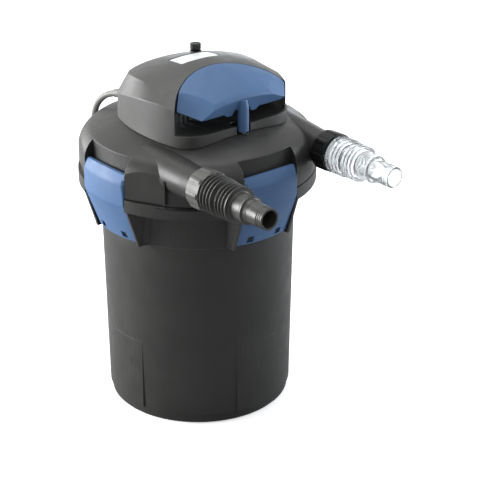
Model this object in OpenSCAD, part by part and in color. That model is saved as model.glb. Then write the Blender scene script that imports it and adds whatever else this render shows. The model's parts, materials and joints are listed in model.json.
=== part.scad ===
// Pond canister filter with UV head: a bucket of foam rings under a domed head,
// held by four over-centre clips, with a pull-up handle that squeezes the foam.
// Millimetres. Origin at the centre of the bucket base, Z up, front clip at -Y.

/* [Bucket] */
// wall radius just above the foot
wall_r_low = 110; // [106:0.5:113]
// wall radius at the shoulder
wall_r_high = 114; // [113:0.5:118]
// wall thickness
wall_t = 4; // [3:0.25:5]
// thickness of the base
base_t = 4.5; // [3.5:0.5:7]
// radius of the foot
foot_r = 107.5; // [102:0.5:109]
// height of the joint between bucket and head
split_z = 293; // [270:1:320]
// outer radius of the neck below the flange
neck_r = 112.5; // [111.5:0.25:113]
// outer radius of the flange
flange_r = 140; // [138:0.5:143]
// depth of the skirt that hangs from the flange
skirt_h = 16; // [12:0.5:20]
// raised pad under each clip, half angle in degrees
pad_a = 14.9; // [10:0.5:17]

/* [Rim seal] */
// inner radius of the flat ring
seal_r = 118; // [116.5:0.5:119]
// width of the ring
seal_w = 5; // [4:0.5:6]
// depth of its groove
seal_h = 3.5; // [2.5:0.5:4.5]

/* [Clips] */
// half width of a clip
clip_half = 37.2; // [34:0.2:40]
// skin thickness
clip_t = 3.5; // [3:0.25:4]
// side gap between clip and gusset
clip_gap = 1; // [0.8:0.1:1.5]
// hinge pin radius
pin_r = 2; // [1.5:0.25:2.5]
// running play around the pin
pin_play = 0.06; // [0.03:0.01:0.1]
// hinge outside the neck
pin_step = 1.5; // [1:0.25:2.5]
// hinge below the joint face
pin_drop = 57.8; // [56:0.2:59]
// gusset thickness
gusset_t = 3.5; // [3:0.25:5]

/* [Head] */
// step from the flange in to the head skirt
head_step = 1; // [0.5:0.25:2]
// height of the upright skirt
skirt_top = 24; // [22:0.5:26]
// shoulder rounding
shoulder_r = 26; // [24:0.5:28]
// radius of the domed top
cap_r = 334.3; // [320:1:360]
// radius of the flat in the middle of the dome
flat_r = 60; // [50:1:64]
// shell thickness of the dome
dome_t = 4; // [3:0.25:5]
// wall between the pockets and the inside of the head
pocket_t = 4.5; // [3:0.5:6]
// bore of the spigot that drops into the neck
spigot_r = 104; // [103:0.25:105]
// depth of the pockets behind the clips, from the flange edge
pocket_d = 13; // [12:0.5:14]

/* [Nozzles and hosetails] */
// distance of each nozzle from the middle plane
nozzle_x = 90.6; // [86:0.2:94]
// nozzle axis above the joint face
nozzle_z = 30.5; // [29:0.5:32]
// bore through nozzle and stub
nozzle_bore = 13; // [11:0.5:14]
// outer radius of the threaded stub
stub_r = 17.5; // [16.5:0.25:18]
// reach of the stub from the filter axis
stub_end = 126; // [124:0.5:130]
// nut radius over the ribs
nut_r = 24; // [22.5:0.25:25]
// nut length
nut_l = 20; // [18:0.5:22]
// radius of the first four hose discs
disc_r1 = 22.3; // [20:0.1:23]
// radius of the next four hose discs
disc_r2 = 21; // [19:0.1:22]
// spacing of the discs
disc_pitch = 5.5; // [5:0.1:6]
// end step radius
tip_r = 12.3; // [11.5:0.1:13]
// bore of the hosetail
tail_bore = 10; // [8:0.5:10.5]

/* [Foam and basket] */
// outer radius of the foam rings
foam_r = 103.5; // [95:0.5:104]
// inner radius of the foam rings
foam_bore = 38; // [37.8:0.1:42]
// top of the foam stack below the joint face
foam_drop = 31; // [30:0.5:36]
// underside of the press plate above the base
press_z = 19.5; // [16:0.5:26]
// plate thickness
plate_t = 5; // [4:0.5:6]
// outer radius of the perforated core tube
core_r = 33; // [32:0.25:33.2]
// wall of the core tube
core_t = 2.5; // [2:0.25:3]
// pull rod radius
rod_r = 3; // [2.5:0.25:3.5]
// pull rod distance in front of the axis
rod_y = 84.5; // [83:0.25:86]

/* [UV unit] */
// quartz sleeve outer radius
quartz_r = 14; // [13:0.25:14.5]
// quartz wall
quartz_t = 1.5; // [1:0.1:2]
// quartz sleeve length
quartz_l = 312; // [260:1:320]
// lamp tube radius
tube_r = 5.4; // [4:0.1:5.5]
// lamp tube length
tube_l = 275; // [220:1:280]
// radius of the sleeve clamp nut
clamp_r = 19; // [18:0.5:20]

/* [Hood and handle] */
// crown height above the joint face
hood_top = 127.2; // [120:0.5:132]
// flat front, distance from the axis
hood_front = 86; // [84:0.5:88]
// half width
hood_half = 90.7; // [88:0.5:92]
// rear, distance from the axis
hood_back = 80.6; // [78:0.5:84]
// shell thickness
hood_t = 3.2; // [2.5:0.1:4]
// width of the sloping edge beside the crown
edge_w = 16; // [12:0.5:18]
// drop of the sloping edge
edge_d = 7; // [5:0.25:8]
// drop from the crown to the front crease
front_d = 7.5; // [5:0.25:9]
// how far the front leans in below the crease
front_lean = 3.5; // [1:0.25:4]
// shadow gap between hood and dome
hood_gap = 0.8; // [0.5:0.1:0.9]
// radius of the handle opening
grip_r = 104; // [102:0.5:105]
// gap between handle and opening
grip_gap = 0.8; // [0.5:0.1:1.5]
// top of the front rim above the joint face
rim_z = 70; // [69:0.5:72]
// underside of the handle above the joint face
grip_z = 87; // [85:0.5:89]
// handle stem radius
stem_r = 6.5; // [6:0.25:7]
// label plate length
label_l = 55; // [40:1:60]
// label plate width
label_w = 24; // [16:1:26]
// vent knob radius
knob_r = 6.4; // [5.5:0.1:6.6]
// vent knob height
knob_h = 8.2; // [6:0.2:12]

/* [Mains lead] */
// lead radius
lead_r = 4; // [3:0.1:4]
// turns in each layer of the coil
coil_turns = 3.5; // [2.5:0.5:4.5]
// innermost turn, radius to the lead's middle
coil_r = 31; // [30:0.5:36]

/* [Hidden] */
$fn = 72;
head_r = flange_r - head_step;
pocket_r = flange_r - pocket_d;                // back wall of the clip pockets
cavity_r = pocket_r - pocket_t;                // inside of the head
pin_u = neck_r + pin_step;                     // hinge to filter axis
grey = "#4b4b4a"; blue = "#4f6f9c"; black = "#26282a"; foam_c = "#3d6fb0";
steel = "#c2c6c8"; white = "#eceef0"; clear = "#dfe8ee";
channel_z = split_z - 6;                       // underside of the flange
shoulder_z = split_z - 64;                     // top of the tapered wall
neck_in = neck_r - wall_t;
hinge_z = split_z - pin_drop;
gap_half = clip_half + clip_gap;               // half width of notch and pocket
notch_r = flange_r - 7;
cap_cz = skirt_top - sqrt(pow(cap_r - shoulder_r, 2) - pow(head_r - shoulder_r, 2));
blend_a = atan2(skirt_top - cap_cz, head_r - shoulder_r);
function dome_z(r) = cap_cz + sqrt(cap_r * cap_r - r * r);
function dome_in(r) = cap_cz + sqrt(pow(cap_r - dome_t, 2) - r * r);
flat_z = dome_z(flat_r);
seat_r = 34;                                   // well for the UV base
seat_z = flat_z - 5;
base_h = 5.6;                                  // thickness of the UV base
foam_top = split_z - foam_drop;
foam_z = base_t + press_z + plate_t + 0.5;
foam_h = (foam_top - foam_z) / 4;
plate_z = base_t + press_z;
retain_z = foam_top + 0.3;
rod_top = grip_z - 7;
gland_z = dome_z(rod_y) + 0.6;
stem_z = dome_z(rod_y - stem_r) + 0.4;
quartz_z = flat_z + 13;                        // open end of the sleeve
nut_y = stub_end - 2;                          // near face of the nuts
tail_y = stub_end + 1.5;                       // hosetail flange, after its seal
hood_side = 149; hood_side_y = -12.2; hood_back_r = 183.5;
hood_low = 47; crown_y = -2.2; crown_ky = 304.6; crown_kx = 433.8;
grip_y = -129;
label_c = [4, 9]; knob_c = [22, 29.6];
knob_z = hood_top - pow(knob_c[1] - crown_y, 2) / crown_ky
       - pow(knob_c[0], 2) / crown_kx + 1.5;
gland_c = [-36, 81, 70.5]; gland_tilt = [-102, 0, 15];
post_x = 18; screw_y = 79 - 80.6 + hood_back; screw_z = 75;
pitch_r = 2 * lead_r + 0.6; pitch_z = 2 * lead_r + 0.5;
coil_c = [105, 165]; coil_a0 = -120;
coil_out = coil_r + pitch_r * coil_turns;
// lead from the gland down the back of the filter to the coil
drop = [[-34, 48.4, 370], [-32.5, 57, 368.6], [-32.5, 67.8, 366.4], [-36, 81, 363.5],
        [-42.1, 103.7, 358.5], [-47.2, 118.5, 352], [-50.6, 129.2, 340], [-51.6, 134.6, 325],
        [-50.2, 137.2, 308.5], [-47.6, 138.6, 292], [-45.4, 138.6, 276],
        [-44.5, 138.5, 258], [-44, 137.5, 235], [-40, 136, 200], [-30, 135.5, 160],
        [-14, 135.5, 115], [6, 137, 68], [30, 134, 28]];
plug_r = 78; plug_t = -42;                      // where the lead enters the plug, round the coil
plug_a = plug_t + 90;
function round_coil(r, t, z) = [coil_c[0] + r * cos(t), coil_c[1] + r * sin(t), z];
plug_p = round_coil(plug_r, plug_t, 18.5);

// ---- helpers ----
module at_head() translate([0, 0, split_z]) children();
module spin(pts) rotate_extrude() polygon(pts);
module tube(r, t, h) difference() {
    cylinder(r = r, h = h);
    translate([0, 0, -1]) cylinder(r = r - t, h = h + 2);
}
// outline in (outward, up), extruded across the width of a clip
module across(w, pts) rotate([90, 0, -90]) linear_extrude(w, center = true) polygon(pts);
module four() for (k = [0:3]) rotate([0, 0, 90 * k]) children();
// local axis along -Y through a nozzle
module at_nozzle(s) translate([s * nozzle_x, 0, nozzle_z]) rotate([90, 0, 0]) children();
module bar(x, y, z) translate([x[0], y[0], z[0]])
    cube([x[1] - x[0], y[1] - y[0], z[1] - z[0]]);

// closed skin through rings of equal length, fan caps at both ends
module skin(rings, low, high) {
    n = len(rings[0]); m = len(rings);
    pts = concat([for (r = rings) for (p = r) p], [low, high]);
    faces = concat(
        [for (j = [0:m - 2]) for (i = [0:n - 1]) let (a = j * n + i, b = j * n + (i + 1) % n)
            each [[a, a + n, b], [b, a + n, b + n]]],
        [for (i = [0:n - 1]) [m * n, i, (i + 1) % n]],
        [for (i = [0:n - 1]) let (q = (m - 1) * n) [m * n + 1, q + (i + 1) % n, q + i]]);
    polyhedron(pts, faces, convexity = 8);
}

// hood plan: flat front and three bulging sides, blended at the corners
function ray(t, cx, cy, r) = let (b = sin(t) * cx - cos(t) * cy)
    b + sqrt(b * b - (cx * cx + cy * cy - r * r));
function plan_r(t, d, f) = let (q = cos(t) > 0 ? f : 18) pow(
    (cos(t) > 0.01 ? pow((hood_front - d) / cos(t), -q) : 0)
    + pow(ray(t, hood_side - hood_half, hood_side_y, hood_side - d), -q)
    + pow(ray(t, hood_half - hood_side, hood_side_y, hood_side - d), -q)
    + pow(ray(t, 0, hood_back - hood_back_r, hood_back_r - d), -q), -1 / q);
function plan(t, d, f = 20) = let (r = plan_r(t, d, f)) [r * sin(t), -r * cos(t)];
function crown(p, s) = hood_top - s - pow(p[1] - crown_y, 2) / crown_ky
    - p[0] * p[0] / crown_kx;
// directions round the plan, close together at the corners
half = [8, 16, 23, 29, 34, 38, 41, 43.5, 45.5, 47.5, 50, 53, 57, 63, 71, 80, 90, 100,
    109, 116, 121, 125, 128, 130.5, 133, 135.5, 138, 141, 145, 150, 156, 163, 171.5];
steps = concat([0], half, [180], [for (i = [len(half) - 1:-1:0]) 360 - half[i]]);
// 1 on the front, 0 from the corners back
function front(t) = max(0, min(1, (44 - min(t, 360 - t)) / 10));
// edge profiles, [inset, drop] as shares: front crease and sloping side
front_edge = [[0, 1], [0.045, 0.72], [0.22, 0.4], [0.56, 0.13], [1, 0]];
side_edge = [[0, 1], [0.05, 0.86], [0.3, 0.62], [0.73, 0.22], [1, 0]];
function edge_ring(k, s) = [for (t = steps) let (
    w = front(t), y = plan(t, 0)[1], a = front_edge[k], b = side_edge[k],
    p = plan(t, s + w * 9 * a[0]
        + (1 - w) * (0.8 + (edge_w - 0.8 - 0.045 * y) * b[0])))
    [p[0], p[1], crown(p, s) - w * front_d * a[1]
        - (1 - w) * max(3, min(12, edge_d + 0.1 * y)) * b[1]]];
function low_ring(z, d, lean, f) = [for (t = steps) let (
    p = plan(t, d + lean * front(t), f)) [p[0], p[1], z]];
module hood_form(s = 0) {
    rim = edge_ring(4, s);
    skin(concat([low_ring(hood_low, s - 0.2, 0, 9), low_ring(rim_z + 1, s + 0.3, 0.4, 11),
        low_ring(grip_z - 3, s + 0.5, front_lean, 15)], [for (k = [0:4]) edge_ring(k, s)],
        [for (k = [0.8, 0.6, 0.4, 0.2]) [for (p = rim) let (q = [p[0] * k, p[1] * k])
            [q[0], q[1], crown(q, s)]]]), [0, 0, hood_low], [0, 0, crown([0, 0], s)]);
}

// tube along a path; ref is never parallel to it
function unit(v) = v / norm(v);
module sweep(path, r, n, ref) {
    m = len(path);
    skin([for (i = [0:m - 1]) let (
        t = unit(path[min(i + 1, m - 1)] - path[max(i - 1, 0)]),
        u = unit(cross(t, ref)), v = cross(t, u))
        [for (k = [0:n - 1]) path[i] + r * (cos(360 * k / n) * u - sin(360 * k / n) * v)]],
        path[0], path[m - 1]);
}
function spline(p, s) = concat([for (i = [0:len(p) - 2]) let (
    a = p[max(i - 1, 0)], b = p[i], c = p[i + 1], d = p[min(i + 2, len(p) - 1)])
    for (j = [0:s - 1]) let (t = j / s)
    0.5 * (2 * b + (c - a) * t + (2 * a - 5 * b + 4 * c - d) * t * t
        + (3 * b - a - 3 * c + d) * t * t * t)], [p[len(p) - 1]]);

// ---- bucket ----
gusset = [[neck_r - 9.5, shoulder_z + 1.5], [pin_u + 4, shoulder_z + 1.5],
    [pin_u + 5.5, hinge_z + 0.8], [flange_r - 6.5, split_z - 15],
    [flange_r - 6.5, channel_z + 0.5], [neck_r - 9.5, channel_z + 0.5]];
module bucket() color(grey) difference() {
    union() {
        spin([[0, 1.2], [foot_r - 15.5, 1.2], [foot_r - 14.5, 0], [foot_r - 3, 0],
            [foot_r, 3], [foot_r, 11], [wall_r_low, 13], [wall_r_high, shoulder_z],
            [neck_r, shoulder_z + 1.7], [neck_r, channel_z], [flange_r - 4, channel_z],
            [flange_r - 4, split_z - skirt_h], [flange_r, split_z - skirt_h],
            [flange_r, split_z - 1.2], [flange_r - 6, split_z - 1.2],
            [flange_r - 6, split_z], [seal_r + seal_w + 0.2, split_z],
            [seal_r + seal_w + 0.2, split_z - seal_h], [seal_r - 0.2, split_z - seal_h],
            [seal_r - 0.2, split_z], [neck_in, split_z], [neck_in, shoulder_z + 1],
            [wall_r_low - wall_t, 13], [wall_r_low - wall_t, base_t],
            [core_r + 3, base_t], [core_r + 3, base_t + 9.5], [core_r + 0.2, base_t + 9.5],
            [core_r + 0.2, base_t], [0, base_t]]);
        four() rotate([0, 0, -90 - pad_a]) rotate_extrude(angle = 2 * pad_a)
            translate([wall_r_low - 2, 13]) square([3.7, 87]);
        four() for (s = [-1, 1]) translate([s * (gap_half + gusset_t / 2), 0, 0])
            across(gusset_t, gusset);
        // locating lug on the flange, left of the front clip
        rotate([0, 0, -46]) intersection() {
            rotate([90, 0, 0]) linear_extrude(flange_r + 20) polygon([[-28, split_z - 2.5],
                [28, split_z - 2.5], [13.5, split_z - 10.5], [-13.5, split_z - 10.5]]);
            translate([0, 0, split_z - 15]) tube(flange_r + 4, 6.5, 15);
        }
    }
    four() difference() {
        bar([-gap_half, gap_half], [-flange_r - 10, -notch_r + 14],
            [split_z - skirt_h - 1, split_z + 1]);
        translate([0, 0, split_z - skirt_h - 2]) cylinder(r = notch_r, h = skirt_h + 4);
    }
    four() for (s = [-1, 1]) translate([s * (gap_half + gusset_t / 2), -pin_u, hinge_z])
        rotate([0, 90, 0]) cylinder(r = pin_r, h = gusset_t + 2, center = true);
}
module clip_pins() color(steel) four() for (s = [-1, 1])
    translate([s * (clip_half - 3.3 + (gap_half + gusset_t - 0.4 - clip_half + 3.3) / 2),
        -pin_u, hinge_z]) rotate([0, 90, 0])
        cylinder(r = pin_r, h = gap_half + gusset_t - 0.4 - clip_half + 3.3, center = true);
module rim_seal() color(black) translate([0, 0, split_z - seal_h])
    tube(seal_r + seal_w, seal_w, seal_h);

// ---- clips ----
clip_out = flange_r + 0.5;
clip_top = 28.5;                               // middle of the arched top edge
clip_arch = 343;                               // radius of that arch
clip_skin = [[pin_u + 7.5, -59], [flange_r - 0.5, -12], [clip_out, -8], [clip_out, 15],
    [clip_out - 3, 22.5], [clip_out - 8, 31]];
clip_inner = [[clip_out - 8 - 0.8 * clip_t, 31 - 0.6 * clip_t],
    [clip_out - 3 - 0.97 * clip_t, 21.5], [clip_out - clip_t, 14],
    [clip_out - clip_t, 12], [pocket_r + 2.5, 12],
    [pocket_r + 0.5, 10], [pocket_r + 0.5, 7.5], [notch_r + 3, 5.2],
    [clip_out - clip_t, 4.9], [clip_out - clip_t, -7.5],
    [flange_r - 0.5 - 0.94 * clip_t, -10.8], [pin_u + 7.5 - 0.94 * clip_t, -57.8]];
module clip() color(blue) at_head() difference() {
    union() {
        intersection() {
            spin(concat(clip_skin, clip_inner));
            bar([-clip_half, clip_half], [-170, -60], [-70, 50]);
            clip_bow();
        }
        intersection() {
            union() for (s = [-1, 1]) translate([s * (clip_half - 1.4), 0, 0])
                rotate([90, 0, -90]) linear_extrude(2.8, center = true) union() {
                    translate([pin_u, -pin_drop]) circle(r = 4);
                    polygon([[pin_u - 1, -61.2], [pin_u + 6, -59], [clip_out, -20],
                        [clip_out, 15], [clip_out - 8, 29], [clip_out - 11.5, 27],
                        [clip_out - 11, 0], [clip_out - 11.5, -12],
                        [pin_u + 2.5, -46], [pin_u - 2.5, -54.8]]);
                }
            spin([[100, -62], [pin_u + 5, -62], [pin_u + 6.2, -58.5],
                [flange_r - 2, -12], [clip_out - 1.6, -8], [clip_out - 1.6, 14.5],
                [clip_out - 4.6, 21.8], [clip_out - 8.6, 29.4], [100, 29.4]]);
            clip_bow();
        }
    }
    for (s = [-1, 1]) {
        translate([s * (clip_half - 1.4), -pin_u, -pin_drop]) rotate([0, 90, 0])
            cylinder(r = pin_r + pin_play, h = 4, center = true);
        bar([s * 20 - 4.35, s * 20 + 4.35], [-150, -100], [-57, -49]);
    }
}
module clip_bow() translate([0, -120, clip_top - clip_arch]) rotate([90, 0, 0])
    cylinder(r = clip_arch, h = 100, center = true, $fn = 180);
module clip_front() clip();
module clip_right() rotate([0, 0, 90]) clip();
module clip_rear() rotate([0, 0, 180]) clip();
module clip_left() rotate([0, 0, 270]) clip();

// ---- head ----
dome = concat([[0, -13], [spigot_r + 2.5, -13], [spigot_r + 2.5, 0], [head_r + 0.5, 0]],
    [for (i = [0:8]) let (a = blend_a * i / 8) [head_r - shoulder_r + shoulder_r * cos(a),
        skirt_top + shoulder_r * sin(a)]],
    [for (i = [1:5]) let (r = 122 - i * (122 - flat_r) / 5) [r, dome_z(r)]],
    [[0, flat_z]]);
cavity = [[0, -14], [spigot_r, -14], [spigot_r, 4.5], [cavity_r - 2.5, 6.5],
    [cavity_r, 9], [cavity_r, 38], [cavity_r - 4.5, 45.4], [100, dome_in(100)],
    [80, dome_in(80)], [flat_r, dome_in(flat_r)], [0, dome_in(flat_r)]];
module head_shell() color(grey) at_head() difference() {
    union() {
        difference() {
            spin(dome);
            // flats under the nozzles and opposite
            for (a = [-62.5, 62.5, 117.5, -117.5]) rotate([0, 0, a])
                bar([-60, 60], [-160, -(head_r - 3)], [-2, 60]);
        }
        for (a = [-53, 53]) rotate([0, 0, a])
            bar([-1, 1], [-(head_r + 3.6), -(head_r - 6)], [2, 31]);
        for (s = [-1, 1]) at_nozzle(s) {
            translate([0, 0, 80]) cylinder(r1 = stub_r - 2, r2 = stub_r - 2, h = 22);
            translate([0, 0, 102]) cylinder(r1 = stub_r - 2, r2 = stub_r, h = 20);
            translate([0, 0, 122]) cylinder(r = stub_r, h = stub_end - 122);
        }
        // posts for the hood screws
        for (s = [-1, 1]) bar([s * post_x - 6, s * post_x + 6], [46, screw_y - 4],
            [58, screw_z + 6]);
    }
    difference() {
        spin(cavity);
        translate([0, -rod_y, 45]) cylinder(r = 9.5, h = 40);
        translate([0, 0, seat_z - 5]) cylinder(r = seat_r + 6, h = 40);
    }
    // well and bore for the UV unit
    translate([0, 0, seat_z]) cylinder(r = seat_r + 0.4, h = 40);
    translate([0, 0, seat_z - 20]) cylinder(r = 24.3, h = 60);
    // gland, its seal and the rod
    translate([0, -rod_y, gland_z - 12]) cylinder(r = 6, h = 40);
    translate([0, -rod_y, 30]) cylinder(r = rod_r + 0.4, h = 40);
    // pockets behind the clips
    four() intersection() {
        spin([[pocket_r, 6.9], [notch_r, 5.4], [notch_r, -3], [150, -3], [150, 60],
            [pocket_r, 60]]);
        bar([-gap_half - 0.1, gap_half + 0.1], [-160, -80], [-13, 67]);
    }
    // relief between the pockets
    difference() {
        spin([[pocket_r - 1, -1], [head_r - 6.5, -1], [head_r - 6.5, 13],
            [pocket_r - 1, 13]]);
        four() bar([-gap_half - 4, gap_half + 4], [-160, 0], [-2, 14]);
    }
    for (s = [-1, 1]) {
        at_nozzle(s) translate([0, 0, 60]) cylinder(r = nozzle_bore, h = 80);
        translate([s * post_x, screw_y - 3, screw_z]) rotate([90, 0, 0])
            cylinder(r = 1.5, h = 14);
    }
}
// wall and half floor that keep the outlet side apart from the inlet side
module divider() color(grey) at_head() difference() {
    intersection() {
        union() {
            translate([0, 0, -3]) tube(core_r + 3, 2.7, seat_z - 2.6);
            bar([-1.25, 1.25], [core_r + 2, cavity_r + 5], [2, 80]);
            bar([14, 16.5], [-cavity_r - 5, -core_r + 2], [2, 80]);
            translate([0, 0, 2]) difference() {
                rotate_extrude() translate([core_r + 2, 0]) square([90, 2.5]);
                bar([-200, 0], [-200, 200], [-1, 4]);
                bar([-1, 15], [-200, 0], [-1, 4]);
            }
        }
        spin([[0, -3], [spigot_r, -3], [spigot_r, 4.5], [cavity_r - 3, 7],
            [cavity_r - 0.4, 9.5], [cavity_r - 0.4, 37.6], [cavity_r - 5, 44.8],
            [100, dome_in(100) - 0.5], [80, dome_in(80) - 0.5],
            [core_r + 10, seat_z - 5.4], [0, seat_z - 5.4]]);
    }
    translate([0, 0, -4]) cylinder(r = core_r + 0.3, h = 100);
}

// ---- foam stack and basket ----
function holes(r, n, a0) = [for (i = [0:n - 1]) let (a = a0 + 360 * i / n)
    [r * cos(a), r * sin(a)]];
module sieve(r_out, r_in, rod_hole) difference() {
    circle(r = r_out);
    circle(r = r_in);
    for (p = concat(holes(52, 12, 15), holes(70, 16, 11.25), holes(88, 20, 9)))
        if (norm(p - [0, -rod_y]) > 13) translate(p) circle(r = 5);
    if (rod_hole > 0) translate([0, -rod_y]) circle(r = rod_hole);
}
module press_plate() color(black) difference() {
    union() {
        translate([0, 0, plate_z]) linear_extrude(plate_t) sieve(foam_r, core_r + 1.5, 0);
        translate([0, 0, plate_z]) tube(core_r + 4.5, 3, 30);
        translate([0, -rod_y, plate_z - 8]) cylinder(r = 7, h = 8 + plate_t);
    }
    translate([0, -rod_y, plate_z - 6]) cylinder(r = rod_r, h = 30);
}
module foam_ring(i) color(foam_c) translate([0, 0, foam_z + i * foam_h])
    difference() {
        tube(foam_r, foam_r - foam_bore, foam_h);
        translate([0, -rod_y, -1]) cylinder(r = rod_r + 1.5, h = foam_h + 2);
    }
module foam_ring_1() foam_ring(0);
module foam_ring_2() foam_ring(1);
module foam_ring_3() foam_ring(2);
module foam_ring_4() foam_ring(3);
module retainer_plate() color(black) {
    translate([0, 0, retain_z]) linear_extrude(plate_t)
        sieve(spigot_r + 1.5, core_r + 0.6, rod_r + 1);
    translate([0, 0, retain_z]) tube(spigot_r + 1.5, 4, split_z - 13 - retain_z);
}
module core_tube() color(black) difference() {
    translate([0, 0, base_t + 0.3]) tube(core_r, core_t, split_z + 3 - base_t);
    for (j = [0:4]) for (i = [0:3]) translate([0, 0, plate_z + 36 + j * 42])
        rotate([0, 0, 45 * i + 22.5]) bar([-3, 3], [-60, 60], [0, 32]);
}
module pull_rod() color(steel) translate([0, -rod_y, plate_z - 6])
    cylinder(r = rod_r, h = split_z + rod_top - plate_z + 6);
module rod_gland() color(black) at_head() translate([0, -rod_y, gland_z - 9])
    tube(6, 6 - rod_r - 0.08, 9);
module rod_seal() color(black) at_head() translate([0, -rod_y, gland_z - 12])
    tube(6, 6 - rod_r - 0.05, 3);

// ---- UV unit ----
module uv_base() color(black) at_head() difference() {
    union() {
        translate([0, 0, seat_z]) cylinder(r = seat_r, h = base_h);
        translate([0, 0, seat_z - 18]) cylinder(r = 24, h = 19);
    }
    translate([0, 0, seat_z - 20]) cylinder(r = quartz_r + 0.3, h = 60);
    translate([0, 0, seat_z + 0.4]) cylinder(r = quartz_r + 3.6, h = 20);
    translate([0, 0, seat_z - 0.1]) tube(32, 4, 2.1);
}
module uv_seal() color(black) at_head() translate([0, 0, seat_z]) tube(31.8, 3.6, 2);
module sleeve_seal() color(black) at_head() translate([0, 0, seat_z + 0.4])
    tube(quartz_r + 3.6, 3.58, base_h - 0.4);
module sleeve_nut() color(black) at_head() translate([0, 0, seat_z + base_h])
    difference() {
        cylinder(r = clamp_r, h = quartz_z - seat_z - base_h + 2);
        translate([0, 0, -1]) cylinder(r = quartz_r + 0.5, h = 60);
        for (i = [0:11]) rotate([0, 0, 30 * i]) translate([clamp_r + 1, 0, 3])
            cylinder(r = 2, h = 60, $fn = 24);
    }
module quartz_sleeve() color(clear) at_head() translate([0, 0, quartz_z - quartz_l])
    difference() {
        cylinder(r = quartz_r, h = quartz_l);
        translate([0, 0, quartz_t]) cylinder(r = quartz_r - quartz_t, h = quartz_l);
    }
module uv_lamp() color(white) at_head() {
    translate([0, 0, quartz_z - 22]) cylinder(r = quartz_r - quartz_t - 0.6, h = 24);
    for (s = [-1, 1]) translate([s * (tube_r + 0.9), 0, quartz_z - 21.5 - tube_l])
        cylinder(r = tube_r, h = tube_l);
    translate([0, 0, quartz_z - 14 - tube_l]) rotate([0, 90, 0])
        cylinder(r = 2.6, h = 2 * tube_r, center = true);
}
module lamp_socket() color(white) at_head() translate([0, 0, quartz_z + 2])
    cylinder(r = quartz_r + 3, h = 18);
module ballast() color(black) at_head() bar([-72, -28], [20, 48], [flat_z, flat_z + 30]);

// ---- hood, handle and top fittings ----
module grip(r, z0, z1) translate([0, grip_y, z0]) cylinder(r = r, h = z1 - z0);
module stem_notch() {
    bar([-stem_r - 3.5, stem_r + 3.5], [-100, 8.5 - rod_y], [40, rim_z + 1]);
    translate([0, 8.5 - rod_y, 40]) cylinder(r = stem_r + 3.5, h = rim_z - 39);
}
// floor and back wall of the finger space
module grip_liner() color(black) at_head() difference() {
    intersection() {
        hood_form(hood_t + 0.2);
        difference() {
            grip(grip_r + 3, flat_z + 1, 130);
            grip(grip_r + 0.2, flat_z + 2.4, 131);
        }
    }
    stem_notch();
}
module hood() color(grey) at_head() difference() {
    union() {
        difference() {
            hood_form();
            hood_form(hood_t);
        }
        intersection() {
            hood_form(0.5);
            union() {
                // thicker under the label, and a boss under the knob
                translate([label_c[0] - label_l / 2 - 2, label_c[1] - label_w / 2 - 2,
                    hood_top - 10.5]) cube([label_l + 4, label_w + 4, 20]);
                translate([gland_c[0], gland_c[1], gland_c[2]]) rotate(gland_tilt)
                    translate([0, 0, -9]) cylinder(r = 9.2, h = 9);
            }
        }
        translate([knob_c[0], knob_c[1], knob_z - 12]) cylinder(r = knob_r + 0.4, h = 12);
        translate(gland_c) rotate(gland_tilt)
            translate([0, 0, -6]) cylinder(r = 9, h = 6);
    }
    grip(grip_r, rim_z, 140);
    // foot follows the dome
    spin(concat([[0, 0], [head_r, 0]], [for (i = [0:6]) let (r = 122 - i * (122 - flat_r) / 6)
        [r, dome_z(r) + hood_gap]], [[0, flat_z + hood_gap]]));
    stem_notch();
    // label recess
    translate([label_c[0] - label_l / 2 - 0.3, label_c[1] - label_w / 2 - 0.3,
        hood_top - 4.5]) cube([label_l + 0.6, label_w + 0.6, 20]);
    translate([knob_c[0], knob_c[1], 60]) cylinder(r = 3 + pin_play, h = 90);
    translate(gland_c) rotate(gland_tilt) {
        cylinder(r = 12, h = 40);
        translate([0, 0, -40]) cylinder(r = 6.3, h = 60);
    }
    for (s = [-1, 1]) translate([s * post_x, 0, screw_z]) rotate([-90, 0, 0]) {
        translate([0, 0, 40]) cylinder(r = 1.8, h = 60);
        translate([0, 0, screw_y - 1.6]) cylinder(r = 4, h = 20);
    }
}
module hood_screws() color(steel) at_head() for (s = [-1, 1])
    translate([s * post_x, 0, screw_z]) rotate([-90, 0, 0]) {
        translate([0, 0, screw_y - 1.6]) cylinder(r = 3.2, h = 2);
        translate([0, 0, screw_y - 15]) cylinder(r = 1.5, h = 14);
    }
module label_plate() color(white) at_head() intersection() {
    translate([0, 0, -0.4]) hood_form();
    translate([label_c[0] - label_l / 2, label_c[1] - label_w / 2, hood_top - 4.5])
        cube([label_l, label_w, 20]);
}
module vent_knob() color(black) at_head() translate([knob_c[0], knob_c[1], knob_z + 0.3])
    difference() {
        union() {
            cylinder(r = knob_r - 0.6, h = 2);
            translate([0, 0, 2]) cylinder(r = knob_r, h = knob_h - 2);
            translate([0, 0, -16]) cylinder(r = 3, h = 17);
        }
        for (i = [0:7]) rotate([0, 0, 45 * i]) translate([knob_r + 0.8, 0, 2.5])
            cylinder(r = 1.4, h = 20, $fn = 24);
    }
// corner planes of the handle, s = side, e = inward shift
module facet(s, e) translate([s * 60, -57, 110])
    rotate([0, 42.8, s < 0 ? -122.9 : -57.1]) translate([-90, -90, -e])
        cube([180, 180, 60]);
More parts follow.
